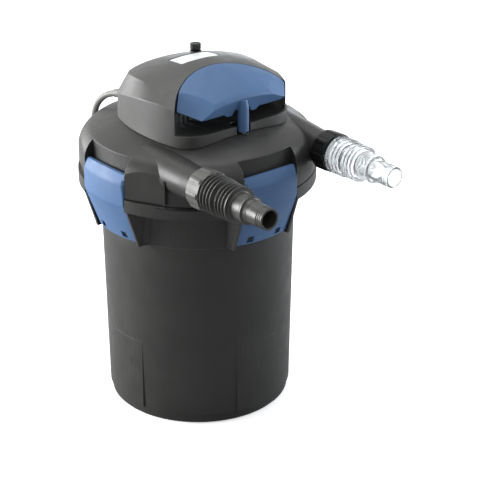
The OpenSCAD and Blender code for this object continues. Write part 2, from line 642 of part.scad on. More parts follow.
// front outline of the underside: lobes and an arch round the stem
module underside() rotate([90, 0, 0]) linear_extrude(150) polygon([[-120, grip_z],
    [-25, grip_z], [-21, grip_z - 3.5], [-14, grip_z - 3.5], [-10.5, grip_z + 2.5],
    [10.5, grip_z + 2.5], [14, grip_z - 3.5], [21, grip_z - 3.5], [25, grip_z],
    [120, grip_z], [120, 150], [-120, 150]]);
module handle() color(blue) at_head() difference() {
    union() {
        difference() {
            intersection() {
                hood_form();
                grip(grip_r - grip_gap, grip_z - 5, 140);
                underside();
            }
            for (s = [-1, 1]) facet(s, 0);
            difference() {
                intersection() {
                    hood_form(3);
                    grip(grip_r - grip_gap - 3, grip_z - 6, 140);
                }
                for (s = [-1, 1]) facet(s, 3);
                bar([-21, 21], [-100, -66], [grip_z - 6, 130]);
            }
        }
        translate([0, -rod_y, stem_z]) cylinder(r = stem_r, h = grip_z + 1 - stem_z);
        hull() {
            translate([0, -rod_y, grip_z]) cylinder(r = stem_r, h = 1);
            translate([0, 8 - rod_y, grip_z + 12]) cylinder(r = stem_r - 2, h = 1);
        }
    }
    translate([0, -rod_y, stem_z - 1]) cylinder(r = rod_r, h = rod_top - stem_z + 1);
}

// ---- union nuts and hosetails ----
module nut(s) at_head() at_nozzle(s) translate([0, 0, nut_y]) difference() {
    union() {
        cylinder(r = nut_r - 1.2, h = nut_l);
        for (i = [0:7]) rotate([0, 0, 45 * i]) translate([nut_r - 5.2, 0, 1.5])
            cylinder(r = 5.2, h = nut_l - 4, $fn = 36);
    }
    translate([0, 0, -1]) cylinder(r = stub_r + 0.35, h = tail_y - nut_y + 4.85);
    cylinder(r = stub_r - 1.9, h = 60);
}
disc_y = nut_y + nut_l + 4;                    // first disc
disc2_y = disc_y + 3 * disc_pitch + 7.5;
body_y = disc2_y + 3 * disc_pitch + 2.5;
function disc(y, r, c) = [[c, y - 0.8], [r, y - 0.8], [r, y + 0.8], [c, y + 0.8]];
module hosetail(s) at_head() at_nozzle(s) spin(concat(
    [[tail_bore, tail_y], [stub_r + 0.3, tail_y], [stub_r + 0.3, tail_y + 3.5],
        [stub_r - 2.5, tail_y + 3.5], [stub_r - 2.5, disc_y - 2], [17.5, disc_y - 1]],
    [for (i = [0:3]) each disc(disc_y + i * disc_pitch, disc_r1, 17.5)],
    [for (i = [0:3]) each disc(disc2_y + i * disc_pitch, disc_r2, 16.5)],
    [[15.5, body_y], [15.2, body_y + 14], [16, body_y + 14.5], [16, body_y + 17],
        [13.5, body_y + 17.5], [13.5, body_y + 22], [tip_r + 0.3, body_y + 22.5],
        [tip_r + 0.3, body_y + 38]],
    [for (i = [0:2]) each [[tip_r - 0.5, body_y + 38.3 + 3 * i],
        [tip_r - 0.5, body_y + 39.3 + 3 * i], [tip_r, body_y + 39.8 + 3 * i],
        [tip_r, body_y + 41 + 3 * i]]],
    [[tail_bore, body_y + 47]]));
module seal_washer(s) at_head() at_nozzle(s) translate([0, 0, stub_end])
    tube(stub_r - 0.3, stub_r - 0.3 - nozzle_bore - 0.2, tail_y - stub_end);
module inlet_nut() color(black) nut(-1);
module outlet_nut() color(black) nut(1);
module inlet_hosetail() color(black) hosetail(-1);
module outlet_hosetail() color(clear) hosetail(1);
module inlet_seal() color(grey) seal_washer(-1);
module outlet_seal() color(grey) seal_washer(1);

// ---- mains lead ----
module at_gland() translate(gland_c + [0, 0, split_z]) rotate(gland_tilt) children();
module cable_gland() color(black) at_gland() difference() {
    union() {
        translate([0, 0, -14]) cylinder(r = 6, h = 15);
        cylinder(r = 8.3, h = 4);
    }
    translate([0, 0, -20]) cylinder(r = lead_r + 0.3, h = 40);
}
module strain_relief() color(black) at_gland() translate([0, 0, 4]) difference() {
    union() {
        cylinder(r = 6.2, h = 3);
        translate([0, 0, 3]) cylinder(r1 = 5.8, r2 = 5, h = 17);
    }
    translate([0, 0, -1]) cylinder(r = lead_r + 0.3, h = 40);
}
coil_steps = 24;
function layer_r(j, f) = j % 2 == 0 ? coil_out - f * (coil_out - coil_r)
    : coil_r + f * (coil_out - coil_r);
function ease(x) = x <= 0 ? 0 : x >= 1 ? 1 : x * x * (3 - 2 * x);
coil_n = 4 * coil_turns * coil_steps;
coil = [for (i = [0:coil_n]) let (
    q = i / (coil_turns * coil_steps), j = min(3, floor(q)), f = q - j,
    rise = (j < 3 ? ease((f - 1) * coil_turns * 4 + 1) / 2 : 0)
         + (j > 0 ? ease(f * coil_turns * 4) / 2 - 1 / 2 : 0),
    a = coil_a0 + 360 * i / coil_steps, r = layer_r(j, f))
    [coil_c[0] + r * cos(a), coil_c[1] + r * sin(a),
        lead_r - 0.3 + (j + rise) * pitch_z]];
coil_in = coil[0];
coil_end = coil[coil_n];
lead_dir = [cos(coil_a0 + 90), sin(coil_a0 + 90), 0];
module cord_drop() color(black) sweep(spline(concat(drop,
    [coil_in - 30 * lead_dir + [0, 0, 2.5], coil_in - 2 * lead_r * lead_dir, coil_in]),
    4), lead_r, 10, [1, 0, 0]);
module cord_coil() color(black) sweep(concat(coil, [for (p = spline([coil_end,
    round_coil(coil_out + 1.5, coil_a0 + 19, 28.5), round_coil(coil_out + 6, coil_a0 + 38, 26),
    round_coil(coil_out + 12.5, coil_a0 + 56, 22),
    plug_p - 2 * lead_r * [cos(plug_a), sin(plug_a), 0], plug_p], 4))
    if (p != coil_end) p]), lead_r, 6, [0, 0, 1]);
module at_plug() translate(plug_p) rotate([0, 0, plug_a]) rotate([0, 90, 0]) children();
module plug_body() color(black) at_plug() {
    cylinder(r1 = 5.5, r2 = 8.5, h = 26);
    translate([0, 0, 26]) cylinder(r1 = 12, r2 = 18.4, h = 8);
    translate([0, 0, 34]) cylinder(r = 18.4, h = 26);
}
module plug_pins() color(steel) at_plug() for (s = [-1, 1])
    translate([0, s * 9.5, 60]) cylinder(r = 2.4, h = 19);

bucket();
rim_seal();
clip_pins();
clip_front();
clip_right();
clip_rear();
clip_left();
head_shell();
divider();
core_tube();
retainer_plate();
press_plate();
foam_ring_1();
foam_ring_2();
foam_ring_3();
foam_ring_4();
pull_rod();
rod_gland();
rod_seal();
uv_base();
uv_seal();
sleeve_seal();
sleeve_nut();
quartz_sleeve();
uv_lamp();
lamp_socket();
ballast();
grip_liner();
hood();
hood_screws();
label_plate();
vent_knob();
handle();
inlet_nut();
inlet_hosetail();
inlet_seal();
outlet_nut();
outlet_hosetail();
outlet_seal();
cable_gland();
strain_relief();
cord_drop();
cord_coil();
plug_body();
plug_pins();
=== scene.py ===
import json
import math
import bmesh
import bpy
from mathutils import Matrix, Vector


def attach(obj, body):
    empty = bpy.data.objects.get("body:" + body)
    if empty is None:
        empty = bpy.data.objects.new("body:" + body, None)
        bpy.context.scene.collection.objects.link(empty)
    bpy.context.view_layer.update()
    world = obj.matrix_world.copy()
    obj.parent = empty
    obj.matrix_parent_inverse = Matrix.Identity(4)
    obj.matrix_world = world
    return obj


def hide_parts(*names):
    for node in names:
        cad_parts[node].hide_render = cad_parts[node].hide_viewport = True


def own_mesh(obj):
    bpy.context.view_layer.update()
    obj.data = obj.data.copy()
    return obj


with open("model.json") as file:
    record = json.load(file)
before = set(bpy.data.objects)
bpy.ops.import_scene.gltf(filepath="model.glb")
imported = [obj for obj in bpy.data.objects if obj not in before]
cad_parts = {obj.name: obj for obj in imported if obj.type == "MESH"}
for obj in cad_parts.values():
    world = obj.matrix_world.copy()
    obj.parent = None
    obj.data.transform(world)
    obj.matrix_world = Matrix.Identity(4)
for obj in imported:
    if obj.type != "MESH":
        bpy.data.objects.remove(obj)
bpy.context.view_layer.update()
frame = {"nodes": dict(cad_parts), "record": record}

MM = 0.001
NODES = frame["nodes"]
BODY_OF = {name: body for body, names in frame["record"]["behaviour"]["bodies"].items()
           for name in names}
scene = bpy.context.scene

# ---------------------------------------------------------------- camera
cam = bpy.data.cameras.new("camera")
cam.lens = 132.27
cam.sensor_width = 36
cam.clip_end = 30
cam_ob = bpy.data.objects.new("camera", cam)
cam_ob.location = (-1.1959, -1.5379, 1.0734)
cam_ob.rotation_euler = (math.radians(65.542), 0, math.radians(-39.427))
scene.collection.objects.link(cam_ob)
scene.camera = cam_ob


# ---------------------------------------------------------------- objects
def link(ob):
    scene.collection.objects.link(ob)
    return ob


def smoothed(bm, name, angle):
    """An object whose edges stay sharp above the angle."""
    me = bpy.data.meshes.new(name)
    bm.normal_update()
    bm.to_mesh(me)
    bm.free()
    me.shade_smooth()
    me.set_sharp_from_angle(angle=math.radians(angle))
    return link(bpy.data.objects.new(name, me))


def even_shading(ob):
    """Large faces keep flat shading, and the small ones at their edges turn the light."""
    even = ob.modifiers.new("normals", "WEIGHTED_NORMAL")
    even.keep_sharp = True
    even.weight = 70
    return ob


# ---------------------------------------------------------------- mains lead
# Sizes here are in millimetres from the floor, as in the part's source.
LEAD_R = 4.0
TURN_STEP, LAYER_STEP = 2 * LEAD_R + 0.6, 2 * LEAD_R + 0.5
COIL_X, COIL_Y, COIL_IN, COIL_START = 105.0, 165.0, 31.0, -120.0
COIL_TURNS, COIL_LAYERS = 3.5, 4    # turns of one layer, and layers
COIL_STEPS = 32                     # points of one turn
COIL_OUT = COIL_IN + TURN_STEP * COIL_TURNS
COIL_CLIMB = 4                      # a quarter turn of climb on each side of a layer's end
FLOOR_GAP = 0.1
BEND_STEPS = 6                      # points from one bend of the route to the next
LEAD_DROP = [(-36, 81, 363.5), (-42.1, 103.7, 358.5), (-47.2, 118.5, 352), (-50.6, 129.2, 340),
             (-51.6, 134.6, 325), (-50.2, 137.2, 308.5), (-47.6, 138.6, 292), (-45.4, 138.6, 276),
             (-44.5, 138.5, 258), (-44, 137.5, 235), (-40, 136, 200), (-30, 135.5, 160),
             (-14, 135.5, 115), (6, 137, 68), (30, 134, 28)]
COIL_ENTRY = ((30, 2.5), (8, 0))    # before the coil: how far back, how far up
COIL_EXIT = ((1.5, 19, 28.5), (6, 38, 26), (12.5, 56, 22))  # off the coil, degrees on, height
PLUG_R, PLUG_DEG, PLUG_Z = 78, -42, 18.5                    # its cable end, round the coil
PLUG_FACING, PLUG_STRAIGHT = 48, 8                          # degrees, straight lead before it


def spline(bends, steps):
    """One smooth line through all bends."""
    line = []
    for i in range(len(bends) - 1):
        a, b, c, d = bends[max(i - 1, 0)], bends[i], bends[i + 1], bends[min(i + 2, len(bends) - 1)]
        for j in range(steps):
            t = j / steps
            line.append(0.5 * (2 * b + (c - a) * t + (2 * a - 5 * b + 4 * c - d) * t * t
                               + (3 * b - a - 3 * c + d) * t ** 3))
    return line + [bends[-1]]


def ease(x):
    x = min(1, max(0, x))
    return x * x * (3 - 2 * x)


def on_coil(r, deg, z):
    turn = math.radians(deg)
    return Vector((COIL_X + r * math.cos(turn), COIL_Y + r * math.sin(turn), z))


def coil_points():
    """Layers wound inwards and outwards by turns, each lying on the one below."""
    points = []
    for i in range(int(COIL_LAYERS * COIL_TURNS * COIL_STEPS) + 1):
        wound = i / (COIL_TURNS * COIL_STEPS)
        layer = min(COIL_LAYERS - 1, int(wound))
        part = wound - layer
        rise = layer
        if layer < COIL_LAYERS - 1:
            rise += ease((part - 1) * COIL_TURNS * COIL_CLIMB + 1) / 2
        if layer > 0:
            rise += ease(part * COIL_TURNS * COIL_CLIMB) / 2 - 0.5
        across = part * (COIL_OUT - COIL_IN)
        r = COIL_IN + across if layer % 2 else COIL_OUT - across
        points.append(on_coil(r, COIL_START + 360 * i / COIL_STEPS,
                              LEAD_R + FLOOR_GAP + rise * LAYER_STEP))
    return points


def along(deg):
    return Vector((math.cos(math.radians(deg)), math.sin(math.radians(deg)), 0))


def lead_route():
    """Out of the hood, down the back of the bucket, through the coil and into the plug."""
    coil = coil_points()
    entry = [coil[0] - back * along(COIL_START + 90) + Vector((0, 0, up))
             for back, up in COIL_ENTRY]
    leave = [on_coil(COIL_OUT + out, COIL_START + deg, z) for out, deg, z in COIL_EXIT]
    plug = on_coil(PLUG_R, PLUG_DEG, PLUG_Z)
    leave.append(plug - PLUG_STRAIGHT * along(PLUG_FACING))
    head = spline([Vector(p) for p in LEAD_DROP] + entry + [coil[0]], BEND_STEPS)
    tail = spline([coil[-1]] + leave + [plug], BEND_STEPS)
    return head[:-1] + coil + tail[1:]


route = lead_route()
sheath = bpy.data.curves.new("mains_lead", "CURVE")
sheath.dimensions = "3D"
sheath.bevel_depth = 1              # each point's radius makes it the lead's own
sheath.bevel_resolution = 3
sheath.use_fill_caps = True
run = sheath.splines.new("POLY")
run.points.add(len(route) - 1)
for point, place in zip(run.points, route):
    point.co = (*(place * MM), 1)
    point.radius = LEAD_R * MM
run.use_smooth = True
lead = link(bpy.data.objects.new("mains_lead", sheath))
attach(lead, "housing")
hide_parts("cord_drop", "cord_coil")

# A flat band round all turns, on the side of the coil away from the filter.
TIE_DEG, TIE_R, TIE_Z = 60, 43.9, 17.3
TIE_HALF_L, TIE_HALF_H, TIE_W, TIE_T = 17.3, 17.1, 6, 0.9
TIE_SQUARE = 8                      # how square its four bends are
TIE_FLAT = 0.2                      # share of its thickness above and below, so it clears the floor


def band_loop(bm, side, t):
    """The edges of one rim of the band."""
    made = bmesh.ops.create_circle(bm, segments=48, radius=1)["verts"]
    middle = on_coil(TIE_R, TIE_DEG, TIE_Z) + along(TIE_DEG + 90) * side * TIE_W / 2
    for v in made:
        k = (abs(v.co.x) ** TIE_SQUARE + abs(v.co.y) ** TIE_SQUARE) ** (-1 / TIE_SQUARE)
        v.co = (middle + along(TIE_DEG) * (TIE_HALF_L + t) * v.co.x * k
                + Vector((0, 0, (TIE_HALF_H + t * TIE_FLAT) * v.co.y * k))) * MM
    return list({e for v in made for e in v.link_edges})


bm = bmesh.new()
rims = [band_loop(bm, side, t) for side, t in ((-1, 0), (1, 0), (1, TIE_T), (-1, TIE_T))]
for near, far in zip(rims, rims[1:] + rims[:1]):
    bmesh.ops.bridge_loops(bm, edges=near + far)
bmesh.ops.recalc_face_normals(bm, faces=bm.faces)
tie = smoothed(bm, "lead_tie", 40)
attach(tie, "housing")


# ---------------------------------------------------------------- materials
def srgb(code):
    """sRGB hex to linear RGBA."""
    parts = [int(code[i:i + 2], 16) / 255 for i in (1, 3, 5)]
    return [c / 12.92 if c <= 0.04045 else ((c + 0.055) / 1.055) ** 2.4 for c in parts] + [1]


def tone(color, share, more=0.0):
    """The same colour, darker or paler."""
    return [min(1, c * share + more) for c in color[:3]] + [1]


def feed(tree, made, inputs):
    """Gives each input its value, or links it where it takes another node's output."""
    for key, value in inputs.items():
        if isinstance(value, bpy.types.NodeSocket):
            tree.links.new(value, made.inputs[key])
        else:
            made.inputs[key].default_value = value


def node(tree, kind, inputs=None, **settings):
    """Adds a node with its settings, values and links."""
    made = tree.nodes.new("ShaderNode" + kind)
    for name, value in settings.items():
        setattr(made, name, value)
    feed(tree, made, inputs or {})
    return made


def blank(name):
    """A new material, its tree and its shader."""
    mat = bpy.data.materials.new(name)
    mat.use_nodes = True
    return mat, mat.node_tree, mat.node_tree.nodes["Principled BSDF"]


PER_MM = (1 / MM, 1 / MM, 1 / MM)   # turns object coordinates to millimetres
DRIFT_MM, POLISH_MM = 55.5, 16.7    # patches of tone and of gloss on a large moulding
GRAIN_HEIGHT = 0.12 * MM
LOW, HIGH = 0.35, 0.65              # the middle of a noise's range
GLOSSIER, DULLER = 0.05, 0.06       # how far patches of gloss leave the roughness
AT_EDGE, FLAT = 0.86, 0.99           # a softened normal against the true one, at an edge and not
EDGE_WEAR_AND_HIGHLIGHT = (1.9, 0.03)                  # how much paler an edge is, as share and sum: rubbed wear, and a painted highlight where the share is large
STREAK_W_MM, STREAK_L_MM = 0.25, 5  # drawing marks on steel
HAZE_MM, WAVE_MM = 2.5, 4           # patches of haze and ripples of a clear wall
CELL_MM = 2                         # open cells of the foam


def plastic(name, code, rough=0.4, grain=0.909, depth=0.3, vary=0.1, wear_and_highlight=0.25, spec=0.5,
            radius=0.7):
    """Moulded or extruded plastic: soft edges, a slow drift of tone, patches of gloss, and paler
    edges: rubbed wear, and where the share is large a painted highlight. The mould's
    spark-eroded grain is about 0.1 mm; it is drawn near 1 mm, the finest that shows. Grain and edge
    radius are in millimetres."""
    mat, tree, shader = blank(name)
    place = node(tree, "Mapping", {"Vector": node(tree, "TexCoord").outputs["Object"],
                                   "Scale": PER_MM}).outputs["Vector"]
    base = srgb(code)
    drift = node(tree, "TexNoise", {"Vector": place, "Scale": 1 / DRIFT_MM, "Detail": 3,
                                    "Roughness": 0.5}).outputs["Fac"]
    share = node(tree, "MapRange", {"Value": drift, "From Min": LOW, "From Max": HIGH,
                                    "To Min": 0, "To Max": 1}).outputs["Result"]
    color = node(tree, "Mix", {0: share, 6: tone(base, 1 - vary), 7: tone(base, 1 + vary)},
                 data_type="RGBA").outputs[2]
    soft = node(tree, "Bevel", {"Radius": radius * MM}, samples=4).outputs["Normal"]
    # Paler edges, where the softened normal turns from the true one: rubbed wear, and a painted
    # highlight where the share is large.
    if wear_and_highlight:
        true = node(tree, "NewGeometry").outputs["Normal"]
        turned_by = node(tree, "VectorMath", {0: soft, 1: true}, operation="DOT_PRODUCT")
        rim = node(tree, "MapRange", {"Value": turned_by.outputs["Value"], "From Min": AT_EDGE,
                                      "From Max": FLAT, "To Min": wear_and_highlight, "To Max": 0})
        color = node(tree, "Mix", {0: rim.outputs["Result"], 6: color, 7: tone(base, *EDGE_WEAR_AND_HIGHLIGHT)},
                     data_type="RGBA").outputs[2]
    polish = node(tree, "TexNoise", {"Vector": place, "Scale": 1 / POLISH_MM, "Detail": 2,
                                     "Roughness": 0.5}).outputs["Fac"]
    gloss = node(tree, "MapRange", {"Value": polish, "From Min": LOW, "From Max": HIGH,
                                    "To Min": rough - GLOSSIER, "To Max": rough + DULLER})
    pits = node(tree, "TexNoise", {"Vector": place, "Scale": 1 / grain, "Detail": 4,
                                   "Roughness": 0.6}).outputs["Fac"]
    relief = node(tree, "Bump", {"Height": pits, "Strength": depth, "Distance": GRAIN_HEIGHT,
                                 "Normal": soft})
    feed(tree, shader, {"Base Color": color, "Roughness": gloss.outputs["Result"],
                        "Normal": relief.outputs["Normal"], "Specular IOR Level": spec})
    return mat


def drawn(name, code, rough=0.3):
    """Drawn steel: fine streaks that run along the rod and catch the light."""
    mat, tree, shader = blank(name)
    place = node(tree, "Mapping", {"Vector": node(tree, "TexCoord").outputs["Object"],
                                   "Scale": (1 / MM, 1 / MM, STREAK_W_MM / STREAK_L_MM / MM)
                                   }).outputs["Vector"]
    base = srgb(code)
    streak = node(tree, "TexNoise", {"Vector": place, "Scale": 1 / STREAK_W_MM, "Detail": 3,
                                     "Roughness": 0.6}).outputs["Fac"]
    color = node(tree, "Mix", {0: streak, 6: tone(base, 0.8), 7: base}, data_type="RGBA")
    gloss = node(tree, "MapRange", {"Value": streak, "From Min": LOW, "From Max": HIGH,
                                    "To Min": rough - 0.08, "To Max": rough + 0.12})
    feed(tree, shader, {"Base Color": color.outputs[2], "Metallic": 1,
                        "Roughness": gloss.outputs["Result"]})
    return mat


def clear(name, code, rough=0.12, passing=0.9, ior=1.49):
    """Clear plastic or glass: light goes through and bends at each wall, with faint patches of
    haze and shallow ripples from the mould. The IOR is acrylic's where none is given."""
    mat, tree, shader = blank(name)
    place = node(tree, "Mapping", {"Vector": node(tree, "TexCoord").outputs["Object"],
                                   "Scale": PER_MM}).outputs["Vector"]
    patch = node(tree, "TexNoise", {"Vector": place, "Scale": 1 / HAZE_MM, "Detail": 2,
                                    "Roughness": 0.5}).outputs["Fac"]
    haze = node(tree, "MapRange", {"Value": patch, "From Min": LOW, "From Max": HIGH,
                                   "To Min": rough, "To Max": rough + 0.08})
    wave = node(tree, "TexNoise", {"Vector": place, "Scale": 1 / WAVE_MM, "Detail": 2,
                                   "Roughness": 0.5}).outputs["Fac"]
    relief = node(tree, "Bump", {"Height": wave, "Strength": 0.15, "Distance": 0.2 * MM})
    feed(tree, shader, {"Base Color": srgb(code), "Transmission Weight": passing, "IOR": ior,
                        "Roughness": haze.outputs["Result"], "Normal": relief.outputs["Normal"]})
    return mat


def foamed(name, code):
    """Reticulated polyurethane foam: open cells with painted shade inside them, and no gloss."""
    mat, tree, shader = blank(name)
    place = node(tree, "Mapping", {"Vector": node(tree, "TexCoord").outputs["Object"],
                                   "Scale": PER_MM}).outputs["Vector"]
    base = srgb(code)
    web = node(tree, "TexVoronoi", {"Vector": place, "Scale": 1 / CELL_MM},
               feature="DISTANCE_TO_EDGE").outputs["Distance"]
    cell = node(tree, "MapRange", {"Value": web, "From Min": 0.02, "From Max": 0.18,
                                   "To Min": 0, "To Max": 1}).outputs["Result"]
    # Each cell's inside is darkened to a quarter of the foam's colour: painted shade in the open
    # pores.
    color = node(tree, "Mix", {0: cell, 6: base, 7: tone(base, 0.25)}, data_type="RGBA")
    relief = node(tree, "Bump", {"Height": cell, "Strength": 1, "Distance": -1.2 * MM})
    feed(tree, shader, {"Base Color": color.outputs[2], "Normal": relief.outputs["Normal"],
                        "Roughness": 0.95})
    return mat


# ABS is satin and even in tone, and its edges turn the light softly; the hosetail's disc rims
# carry a painted highlight, painted paler.
HOUSING_ABS = plastic("abs_moulded_charcoal", "#2b2b2a", rough=0.40, wear_and_highlight=0.15, spec=0.35)
HOOD_ABS = plastic("abs_moulded_grey_hood", "#373736", rough=0.42, vary=0.08, wear_and_highlight=0.15)
BLUE_ABS = plastic("abs_moulded_blue", "#49678f", rough=0.5, depth=0.25, vary=0.06, wear_and_highlight=0.2,
                   spec=0.3)
# Its large edge share paints a highlight on the rims of the hosetail's discs.
TAIL_ABS = plastic("abs_moulded_hosetail", "#353533", rough=0.33, grain=0.833, depth=0.2,
                   vary=0.12, wear_and_highlight=0.6, radius=0.4)
# Polyamide is a little duller, and deep in tone where it is black.
JET_PA = plastic("polyamide_moulded_black", "#0b0b0c", rough=0.45, grain=0.714, depth=0.2,
                 wear_and_highlight=0.1, spec=0.25, radius=0.4)
GREY_PA = plastic("polyamide_moulded_grey", "#4b4b48", rough=0.45, grain=1.111, depth=0.5,
                  vary=0.12, wear_and_highlight=0.45, radius=0.5)
# Polypropylene is smoother, with clear highlights.
BLACK_PP = plastic("polypropylene_moulded_black", "#141516", rough=0.32, grain=0.714, depth=0.2,
                   vary=0.15, wear_and_highlight=0.3, radius=0.4)
# EPDM rubber is matt and takes no wear. PVC sheath and white film have a soft even gloss.
EPDM = plastic("epdm_rubber_moulded", "#131313", rough=0.7, grain=0.5, depth=0.5, vary=0.2,
               wear_and_highlight=0, spec=0.3)
PVC = plastic("pvc_sheath_extruded", "#6d6e6b", rough=0.5, grain=0.625, depth=0.2, wear_and_highlight=0)
LABEL_FILM = plastic("polyester_film_white", "#dfe3e6", rough=0.35, grain=0.4, depth=0.1,
                     vary=0.03, wear_and_highlight=0)
# Stainless steel is bright with streaks along it; the clips' pins are dull and dark.
STAINLESS = drawn("stainless_steel_drawn", "#c4c8ca")
DULL_STEEL = drawn("steel_drawn_dull", "#4a4b4c", rough=0.5)
# Acrylic shows its far walls bent and bright; quartz is clearer, the lamp's glass milky.
ACRYLIC = clear("acrylic_moulded_clear", "#f4f7f8", rough=0.08, passing=0.95)
QUARTZ = clear("quartz_glass_drawn", "#eef4f6", rough=0.03, passing=0.96, ior=1.46)
LAMP_GLASS = clear("lamp_glass_frosted", "#f0f2f6", rough=0.2, passing=0.4)
# Foam is matt, with painted shade in its open cells.
FOAM = foamed("polyurethane_foam_blue", "#3f74b8")

FINISH = {node_name: mat for mat, names in (
    (HOUSING_ABS, "bucket head_shell divider grip_liner"),
    (HOOD_ABS, "hood"),
    (BLUE_ABS, "clip_front clip_right clip_rear clip_left handle"),
    (TAIL_ABS, "inlet_hosetail"),
    (JET_PA, "vent_knob outlet_nut"),
    (GREY_PA, "inlet_nut"),
    (BLACK_PP, "core_tube retainer_plate press_plate rod_gland uv_base sleeve_nut ballast "
               "cable_gland plug_body"),
    (EPDM, "rim_seal rod_seal uv_seal sleeve_seal inlet_seal outlet_seal"),
    (PVC, "cord_drop cord_coil strain_relief"),
    (LABEL_FILM, "lamp_socket label_plate"),
    (STAINLESS, "pull_rod hood_screws plug_pins"),
    (DULL_STEEL, "clip_pins"),
    (ACRYLIC, "outlet_hosetail"),
    (QUARTZ, "quartz_sleeve"),
    (LAMP_GLASS, "uv_lamp"),
    (FOAM, "foam_ring_1 foam_ring_2 foam_ring_3 foam_ring_4")) for node_name in names.split()}


def paint(ob, mat):
    ob.data.materials.clear()
    ob.data.materials.append(mat)


paint(lead, PVC)
paint(tie, EPDM)
for name, ob in NODES.items():
    paint(ob, FINISH[name])


# ---------------------------------------------------------------- pieces that stand for a node
def show(ob, name):
    paint(ob, FINISH[name])
    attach(ob, BODY_OF[name])
    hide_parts(name)


def smooth_copy(name, angle):
    """A joined copy of a CAD node, shaded as one moulding."""
    bm = bmesh.new()
    bm.from_mesh(NODES[name].data)
    bmesh.ops.remove_doubles(bm, verts=bm.verts, dist=2e-6)
    ob = even_shading(smoothed(bm, name + "_skin", angle))
    show(ob, name)
    return ob


JOINT_Z = 293.0


def turned(profile, n=96, at=(0, 0, 0)):
    """Solid of revolution from an outline in X and Z that starts and ends on the axis."""
    bm = bmesh.new()
    points = [bm.verts.new((r, 0, z)) for r, z in profile]
    edges = [bm.edges.new(pair) for pair in zip(points, points[1:])]
    bmesh.ops.spin(bm, geom=points + edges, axis=(0, 0, 1), cent=(0, 0, 0), angle=2 * math.pi,
                   steps=n, use_merge=True)
    bmesh.ops.remove_doubles(bm, verts=bm.verts, dist=1e-4)
    bmesh.ops.recalc_face_normals(bm, faces=bm.faces)
    bmesh.ops.translate(bm, vec=at, verts=bm.verts)
    return bm


def rod(r, z0, z1, at=(0, 0), n=96):
    return turned([(0, z0), (r, z0), (r, z1), (0, z1)], n, (*at, 0))


def block(x, y, z):
    bm = bmesh.new()
    bmesh.ops.create_cube(bm, size=1)
    bmesh.ops.scale(bm, vec=(x[1] - x[0], y[1] - y[0], z[1] - z[0]), verts=bm.verts)
    bmesh.ops.translate(bm, vec=(sum(x) / 2, sum(y) / 2, sum(z) / 2), verts=bm.verts)
    return bm


def rounded_box(middle, length, width, radius, z):
    """A box with its four upright edges rounded."""
    (x, y), l, w = middle, length / 2, width / 2
    bm = block((x - l, x + l), (y - w, y + w), z)
    upright = [e for e in bm.edges if e.verts[0].co.xy == e.verts[1].co.xy]
    bmesh.ops.bevel(bm, geom=upright, offset=radius, affect="EDGES", segments=8, profile=0.5,
                    material=-1)
    return bm


def prism(outline, y0, y1):
    """Outline in X and Z, run from y0 to y1."""
    bm = bmesh.new()
    end = bm.faces.new([bm.verts.new((x, y0, z)) for x, z in outline])
    made = bmesh.ops.extrude_face_region(bm, geom=[end])["geom"]
    bmesh.ops.translate(bm, vec=(0, y1 - y0, 0),
                        verts=[g for g in made if isinstance(g, bmesh.types.BMVert)])
    bmesh.ops.recalc_face_normals(bm, faces=bm.faces)
    return bm


def solid(bm):
    me = bpy.data.meshes.new("blank")
    bm.to_mesh(me)
    bm.free()
    return link(bpy.data.objects.new("blank", me))


def carve(ob, tool, how="DIFFERENCE"):
    tool = solid(tool) if isinstance(tool, bmesh.types.BMesh) else tool
    cut = ob.modifiers.new("carve", "BOOLEAN")
    cut.operation = how
    cut.object = tool
    cut.solver = "EXACT"
    me = bpy.data.meshes.new_from_object(ob.evaluated_get(bpy.context.evaluated_depsgraph_get()))
    ob.modifiers.clear()
    ob.data = me
    bpy.data.objects.remove(tool)


def finish(ob, name, angle):
    """From millimetres above the joint face to metres in the frame, with clean shading."""
    bm = bmesh.new()
    bm.from_mesh(ob.data)
    bpy.data.objects.remove(ob)
    bmesh.ops.remove_doubles(bm, verts=bm.verts, dist=1e-4)
    bmesh.ops.translate(bm, vec=(0, 0, JOINT_Z), verts=bm.verts)
    bmesh.ops.scale(bm, vec=(MM, MM, MM), verts=bm.verts)
    return even_shading(smoothed(bm, name, angle))


# ---------------------------------------------------------------- the form hood and handle share
# Outline: a front, two sides and a back, each a part of a large circle, run into each other.
HOOD_FRONT, HOOD_HALF, HOOD_BACK = 86.0, 90.7, 80.6
SIDE_R, SIDE_Y, BACK_R = 149.0, -12.2, 183.5
FRONT_SQUARE, BACK_SQUARE = 20, 18  # how square its corners are
# Crown: highest at CROWN_Y, falling as a parabola each way.
HOOD_TOP, CROWN_Y, CROWN_KY, CROWN_KX = 127.2, -2.2, 304.6, 433.8
FOOT_Z, RIM_Z, GRIP_Z = 47, 70.0, 87.0
# Wall: how far in, how much more at the front, how square, how high.
WALL = ((-0.2, 0, 9, FOOT_Z), (0.3, 0.4, 11, RIM_Z + 1), (0.5, 3.5, 15, GRIP_Z - 3))
FRONT_ARC, FRONT_BLEND = 44, 10     # degrees to the front's end, and of its change into the side
# Top edge: share of its width, share of its drop. Rolled at the front, a straight slope beside.
FRONT_EDGE = ((0, 1), (0.08, 0.7), (0.3, 0.36), (0.6, 0.12), (1, 0))
SIDE_EDGE = ((0, 1), (0.02, 0.95), (0.35, 0.64), (0.68, 0.31), (1, 0))
FRONT_W, FRONT_DROP = 4.0, 3.0
# The side slope grows narrower and deeper towards the back.
SIDE_IN, SIDE_W, SIDE_W_LESS = 0.8, 16.0, 0.045
SIDE_DROP, SIDE_DROP_MORE, SIDE_DROP_MIN, SIDE_DROP_MAX = 9.4, 0.175, 2, 17
EDGE_ROUND, EDGE_SHARE = 1.6, 0.4   # how round its bends are, and the most of a side one takes
CROWN_RINGS = (0.9, 0.8, 0.6, 0.4, 0.2)


